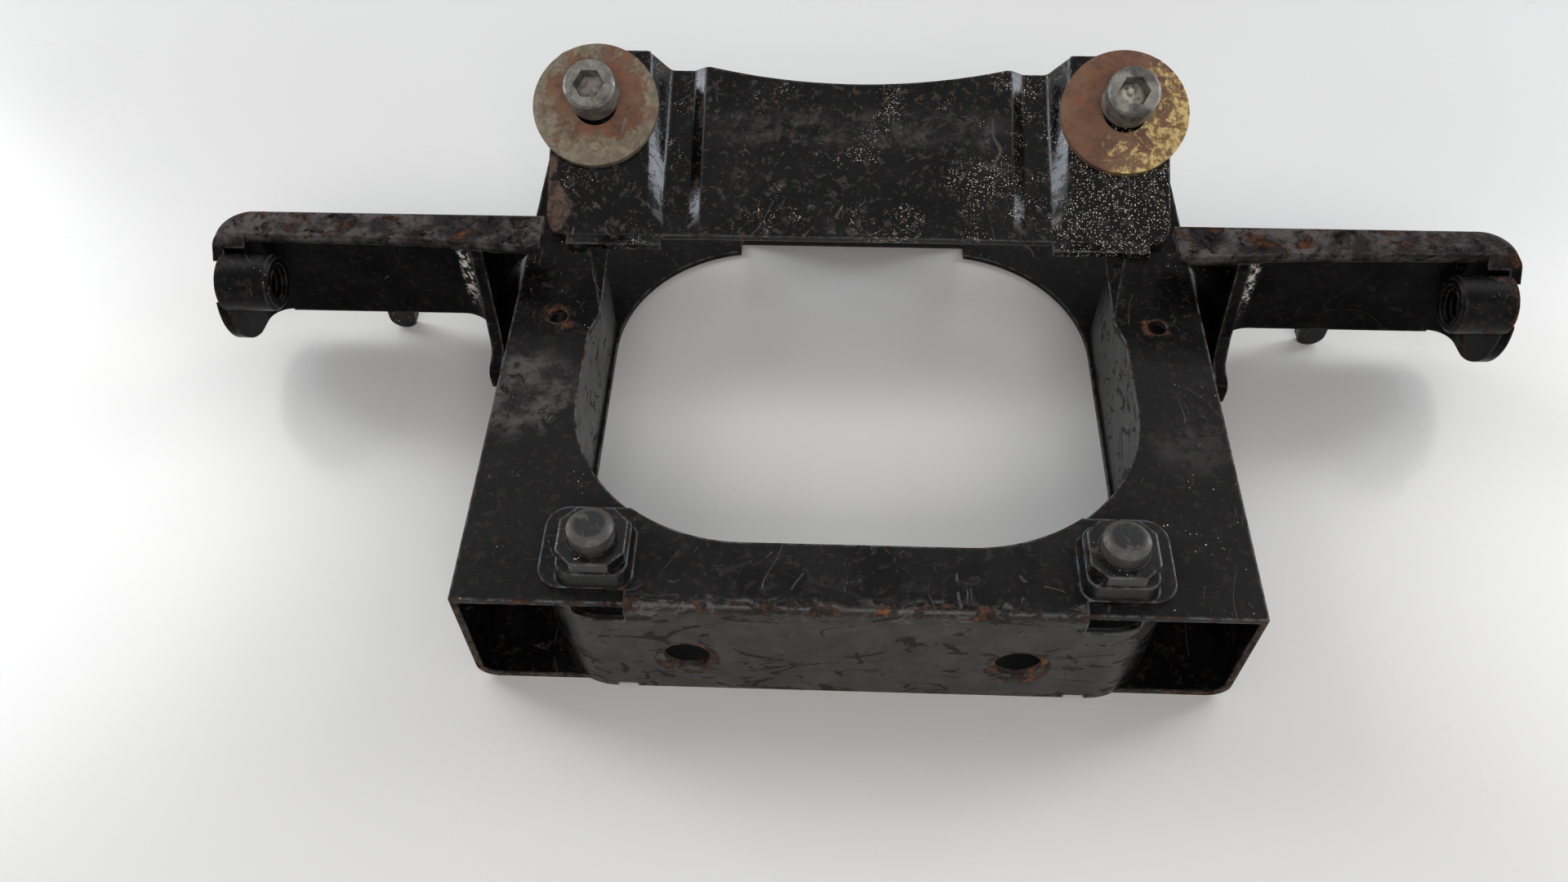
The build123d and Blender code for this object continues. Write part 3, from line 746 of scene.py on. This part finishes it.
def stud_paint(f):
    """A patch of paint that stayed on the middle of each stud's end."""
    torn = f.patches(0.40, 0.44, scale=330, detail=6.0, rough=0.7, warp=0.6)
    return f.all(f.pair(STUD_END, 3.8, 1.0), torn)


def everywhere(amount):
    return lambda f: f.plus(amount, 0.0)


screw_steel = old_steel("weathered_screws", (0.30, 0.28, 0.25, 1), screw_rust, dirt=socket_dirt, seed=2.0)
stud_steel = old_steel("worn_studs", (0.105, 0.099, 0.090, 1), everywhere(0.45), paint=stud_paint, seed=8.0)
dress("socket_screws", screw_steel)
dress("stud_bolts", stud_steel)
dress("weld_nuts", old_steel("rusty_weld_nuts", STEEL_DARK, everywhere(0.8), seed=4.0))

# %% [markdown]
# The two washers have aged differently. The left one is olive grey with a brown ring round its
# screw. The right one is brown all over, and patches of its yellow plating shine through. One
# material does both: a mask that is nothing left of the middle and one right of it mixes them.

# %% Washers
OLIVE = (0.24, 0.20, 0.145, 1)
OLIVE_SHADE = (0.145, 0.118, 0.080, 1)
OLIVE_BROWN = (0.11, 0.065, 0.042, 1)
PALE_BROWN = (0.16, 0.085, 0.048, 1)
PLATING = (0.62, 0.46, 0.20, 1)
PLATING_SHADE = (0.20, 0.125, 0.055, 1)


def washer_brown(f):
    brown = f.mix(f.patches(0.40, 0.60, scale=260, detail=7.0, rough=0.7), STEEL_BROWN, STEEL_ORANGE)
    pale = f.patches(0.45, 0.62, scale=120, detail=7.0, rough=0.7, shift=(5, 5, 5))
    return f.mix(pale, brown, PALE_BROWN)


def left_washer(f, brown):
    """Its colour, and where that is rust."""
    middle = mm(-SCREW_X, SCREW_Y, SCREW_Z)
    away = f.add("ShaderNodeVectorMath", {0: f.place, 1: middle}, operation="DISTANCE").outputs["Value"]
    wobble = f.times(f.less(f.noise(170, detail=8.0, rough=0.68, warp=0.6), 0.5), 0.034)
    ring = f.between(f.plus(away, wobble), metres(13.5), metres(10.0))
    # More brown lies on the half that faces back and towards the bracket's middle.
    back_half = f.between(f.plus(f.axis("Y"), f.times(f.axis("X"), 0.8)), metres(8), metres(22))
    patches = f.patches(0.47, 0.55, scale=105, detail=7.0, rough=0.68, warp=0.7, shift=(2, 0, 0))
    rust = f.any(ring, f.all(patches, back_half))
    olive = f.mix(f.patches(0.38, 0.62, scale=420, detail=6.0, rough=0.7), OLIVE_SHADE, OLIVE)
    stained = f.patches(0.50, 0.66, scale=150, detail=6.0, rough=0.7, shift=(9, 1, 1))
    return f.mix(rust, f.mix(stained, olive, OLIVE_BROWN), brown), rust


def right_washer(f, brown):
    """Its colour, and where that is plating, which lasted on the outer side and below."""
    outward = f.less(f.axis("X"), metres(SCREW_X))
    lower = f.less(metres(SCREW_Y), f.axis("Y"))
    lean = f.plus(f.times(outward, 11.0), f.times(lower, 4.0))
    torn = f.plus(f.noise(210, detail=9.0, rough=0.75, warp=0.9, shift=(1, 8, 3)), lean)
    gold = f.between(torn, 0.55, 0.62)
    plating = f.mix(f.patches(0.42, 0.58, scale=520, detail=6.0, rough=0.7), PLATING_SHADE, PLATING)
    return f.mix(gold, brown, plating), gold


def washer_finish():
    f = Finish("aged_washers")
    right_side = f.along("X", -1, 1)
    brown = washer_brown(f)
    left, rust = left_washer(f, brown)
    right, gold = right_washer(f, brown)
    grey_metal = f.all(f.less(1.0, rust), f.less(1.0, right_side), 0.4)
    shine = f.any(f.all(gold, right_side), grey_metal)
    f.start(f.mix(right_side, left, right), f.blend(shine, 0.80, 0.42), f.all(shine, 0.7))
    f.normal = f.rounded(0.3)
    f.relief(f.noise(700, detail=7.0, rough=0.7), 0.3, 0.7)
    return f.finish()


dress("washers", washer_finish())

# %% [markdown]
# Two forms are modelled here, because the solids leave them out. The first is the thread in the
# sleeve at the end of each arm. A thread is one small triangle carried round an axis while it moves
# along it, which is exactly what the Screw modifier does. The triangle is drawn round the origin,
# because that is the axis the modifier turns about, and only the finished thread is moved to its
# sleeve.


# %% Helpers for new pieces
def bake_place(piece):
    """Puts the piece's place in its mesh, so that its origin is the bracket's."""
    bpy.ops.object.select_all(action="DESELECT")
    piece.select_set(True)
    bpy.context.view_layer.objects.active = piece
    bpy.ops.object.transform_apply(location=True, rotation=True, scale=True)


def apply_all(piece):
    bpy.context.view_layer.objects.active = piece
    for modifier in list(piece.modifiers):
        bpy.ops.object.modifier_apply(modifier=modifier.name)


def on_bracket(piece, material):
    """Gives the piece its finish and says what it rides on."""
    piece.data.materials.append(material)
    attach(piece, "root")
    print(piece.name, "has", len(piece.data.polygons), "faces")


print("helpers for new pieces are ready")

# %% [markdown]
# The triangle is turned so that a corner points at the axis, and is then lifted until its base lies
# just inside the metal round the bore. Its face is deleted before the modifier runs, because only its
# outline sweeps the thread, and the two open ends are filled afterwards.

# %% Threads in the sleeves
BORE_RADIUS = 4.6
TRIANGLE_RADIUS = 0.7
TRIANGLE_OFF_WALL = 0.25
THREAD_PITCH = 1.5
THREAD_TURNS = 8
STEPS_PER_TURN = 28
MERGE_WITHIN = 0.01
SLEEVE_INNER_X = 142.4
SLEEVE_Y = 13.4
SLEEVE_Z = 33.5


def thread_outline(name):
    bpy.ops.object.select_all(action="DESELECT")
    bpy.ops.mesh.primitive_circle_add(vertices=3, radius=metres(TRIANGLE_RADIUS), fill_type="NGON",
                                      rotation=(math.pi / 2, 0, 0))
    piece = bpy.context.object
    piece.name = name
    bake_place(piece)
    bpy.ops.object.mode_set(mode="EDIT")
    bpy.ops.mesh.select_all(action="SELECT")
    bpy.ops.transform.rotate(value=math.pi, orient_axis="Y", center_override=(0, 0, 0))
    bpy.ops.transform.translate(value=mm(0, 0, BORE_RADIUS - TRIANGLE_OFF_WALL))
    bpy.ops.mesh.delete(type="ONLY_FACE")
    bpy.ops.object.mode_set(mode="OBJECT")
    return piece


def close_thread(piece):
    bpy.ops.object.mode_set(mode="EDIT")
    bpy.ops.mesh.select_all(action="SELECT")
    bpy.ops.mesh.remove_doubles(threshold=metres(MERGE_WITHIN))
    bpy.ops.mesh.select_all(action="DESELECT")
    bpy.ops.mesh.select_non_manifold()
    bpy.ops.mesh.fill_holes(sides=4)
    bpy.ops.mesh.select_all(action="SELECT")
    bpy.ops.mesh.normals_make_consistent(inside=False)
    bpy.ops.object.mode_set(mode="OBJECT")


def sleeve_thread(name, side):
    """side is -1 for the left arm and 1 for the right one."""
    piece = thread_outline(name)
    screw = piece.modifiers.new("turns", "SCREW")
    screw.axis = "X"
    screw.screw_offset = side * metres(THREAD_PITCH)
    screw.iterations = THREAD_TURNS
    screw.steps = screw.render_steps = STEPS_PER_TURN
    apply_all(piece)
    close_thread(piece)
    piece.location = mm(side * SLEEVE_INNER_X, SLEEVE_Y, SLEEVE_Z)
    bake_place(piece)
    on_bracket(piece, boss_paint)


sleeve_thread("left_sleeve_thread", -1)
sleeve_thread("right_sleeve_thread", 1)

# %% [markdown]
# The second is the cheek of each neck. Where an arm bends round to the leg, the real sheet is dished
# and closes the wedge between the two, so no table shows through. A flat grid is laid out with one
# direction along the neck and one across it, and each of its points is moved to a line between the
# neck's lower edge and the leg's top edge. The line swells in its middle, most where the neck is
# deepest. Solidify then gives the sheet its thickness.

# %% Cheeks of the necks
LEG_TOP_Z = 32.4
LEG_SIDE_X = 82.5
INTO_LEG = 0.3
CHEEK_SHEET = 1.6
# The lower outer edge, from the arm to the neck's end, as X, Y, Z.
NECK_EDGE = [(97.0, 27.9, 9.6), (95.8, 23.5, 9.8), (94.0, 17.0, 10.4), (91.6, 10.0, 14.0),
             (89.2, 3.0, 18.0), (86.8, -4.0, 22.2), (84.9, -9.0, 25.2), (84.2, -13.0, 27.4)]
FACES_ALONG = len(NECK_EDGE) - 1
FACES_ACROSS = 7
SWELL = 2.2
SWELL_OUTWARD = 0.6
SWELL_FULL_DEPTH = 23
cheek_paint = old_paint("glossy_paint_cheeks", gloss=0.08, sheen=0.8, mottle=0.3, rubbed_from=0.64,
                        scratches=0.001, edges=0.4, lumps=0.7, seed=15.0)


def cheek_point(along, share, side):
    """Share is nothing at the neck's lower edge and one at the leg's top edge."""
    x, y, z = NECK_EDGE[along]
    depth = LEG_TOP_Z - z
    swell = SWELL * math.sin(math.pi * share) * depth / SWELL_FULL_DEPTH
    out = x + (LEG_SIDE_X - INTO_LEG - x) * share + swell * SWELL_OUTWARD
    return mm(side * out, y, z + depth * share + swell)


def neck_cheek(name, side):
    bpy.ops.object.select_all(action="DESELECT")
    bpy.ops.mesh.primitive_grid_add(x_subdivisions=FACES_ALONG, y_subdivisions=FACES_ACROSS, size=1.0)
    piece = bpy.context.object
    piece.name = name
    for point in piece.data.vertices:
        along = round((point.co.x + 0.5) * FACES_ALONG)
        point.co = cheek_point(along, point.co.y + 0.5, side)
    bpy.ops.object.mode_set(mode="EDIT")
    bpy.ops.mesh.select_all(action="SELECT")
    bpy.ops.mesh.normals_make_consistent(inside=False)
    bpy.ops.object.mode_set(mode="OBJECT")
    if piece.data.polygons[0].normal.z < 0:
        piece.data.flip_normals()
    wall = piece.modifiers.new("sheet", "SOLIDIFY")
    wall.thickness = metres(CHEEK_SHEET)
    wall.offset = -1.0
    smooth = piece.modifiers.new("smooth", "SUBSURF")
    smooth.levels = smooth.render_levels = 2
    smooth.boundary_smooth = "PRESERVE_CORNERS"
    apply_all(piece)
    bpy.ops.object.shade_smooth_by_angle(angle=math.radians(40))
    on_bracket(piece, cheek_paint)


neck_cheek("left_neck_cheek", -1)
neck_cheek("right_neck_cheek", 1)

# %% [markdown]
# The bracket lies on a smooth pale table that mirrors it a little. A large plane with a soft sheen
# does that. It is the stage, not part of the object.

# %% Table
TABLE_SIZE = 6.0
TABLE_PALE = (0.72, 0.715, 0.70, 1)
TABLE_SHADE = (0.69, 0.68, 0.66, 1)

bpy.ops.object.select_all(action="DESELECT")
bpy.ops.mesh.primitive_plane_add(size=TABLE_SIZE, location=(0, 0, 0))
table = bpy.context.object
table.name = "table"
t = Finish("pale_table")
cloud = t.patches(0.3, 0.7, scale=3.0, detail=3.0)
smear = t.patches(0.3, 0.7, scale=9.0)
t.start(t.mix(cloud, TABLE_PALE, TABLE_SHADE), t.blend(smear, 0.22, 0.30))
t.relief(t.noise(700, detail=3.0), 0.02, 0.2)
table.data.materials.append(t.finish(Specular_IOR_Level=1.0))
print("table laid")

# %% [markdown]
# The main light falls from behind the bracket on both sides, about 40 degrees up, and throws soft
# shadows towards the viewer. Nothing bright stands straight behind, where the flat black tops would
# mirror it. Two narrow lamps low at the sides draw the long streaks on the grooves of the plate, and
# a broad one in front lightens the front wall.

# %% Lights
MIDDLE = (0, 0, 0)
GROOVES = (0, 0.04, 0.04)
WHITE = (1.0, 1.0, 1.0)
WARM = (1.0, 0.985, 0.96)
WARMER = (1.0, 0.98, 0.95)
BLUISH = (0.84, 0.90, 1.0)


def soft_lamp(name, place, aim, size, power, colour):
    """A rectangular lamp. Its place, its aim and its width and height are in metres."""
    light = bpy.data.lights.new(name, "AREA")
    light.shape = "RECTANGLE"
    light.size, light.size_y = size
    light.energy = power
    light.color = colour
    lamp = bpy.data.objects.new(name, light)
    lamp.location = place
    lamp.rotation_euler = (Vector(aim) - Vector(place)).to_track_quat("-Z", "Y").to_euler()
    bpy.context.scene.collection.objects.link(lamp)
    print(name, power, "W")


room = bpy.data.worlds.new("pale_room")
room.use_nodes = True
room.node_tree.nodes["Background"].inputs["Color"].default_value = (0.98, 0.985, 1.0, 1)
room.node_tree.nodes["Background"].inputs["Strength"].default_value = 0.46
bpy.context.scene.world = room
soft_lamp("window_back_left", (-1.20, 0.75, 1.10), MIDDLE, (0.8, 0.8), 7.0, WHITE)
soft_lamp("window_back_right", (1.20, 0.75, 1.10), MIDDLE, (0.8, 0.8), 5.0, WARM)
soft_lamp("left_strip", (-0.85, 0.33, 0.29), GROOVES, (0.24, 0.50), 3.8, BLUISH)
soft_lamp("right_strip", (0.85, 0.33, 0.29), GROOVES, (0.24, 0.50), 3.8, BLUISH)
soft_lamp("front_fill", (0.10, -1.15, 0.95), MIDDLE, (1.0, 0.5), 9.0, WARMER)
bpy.context.scene.view_settings.view_transform = "Standard"
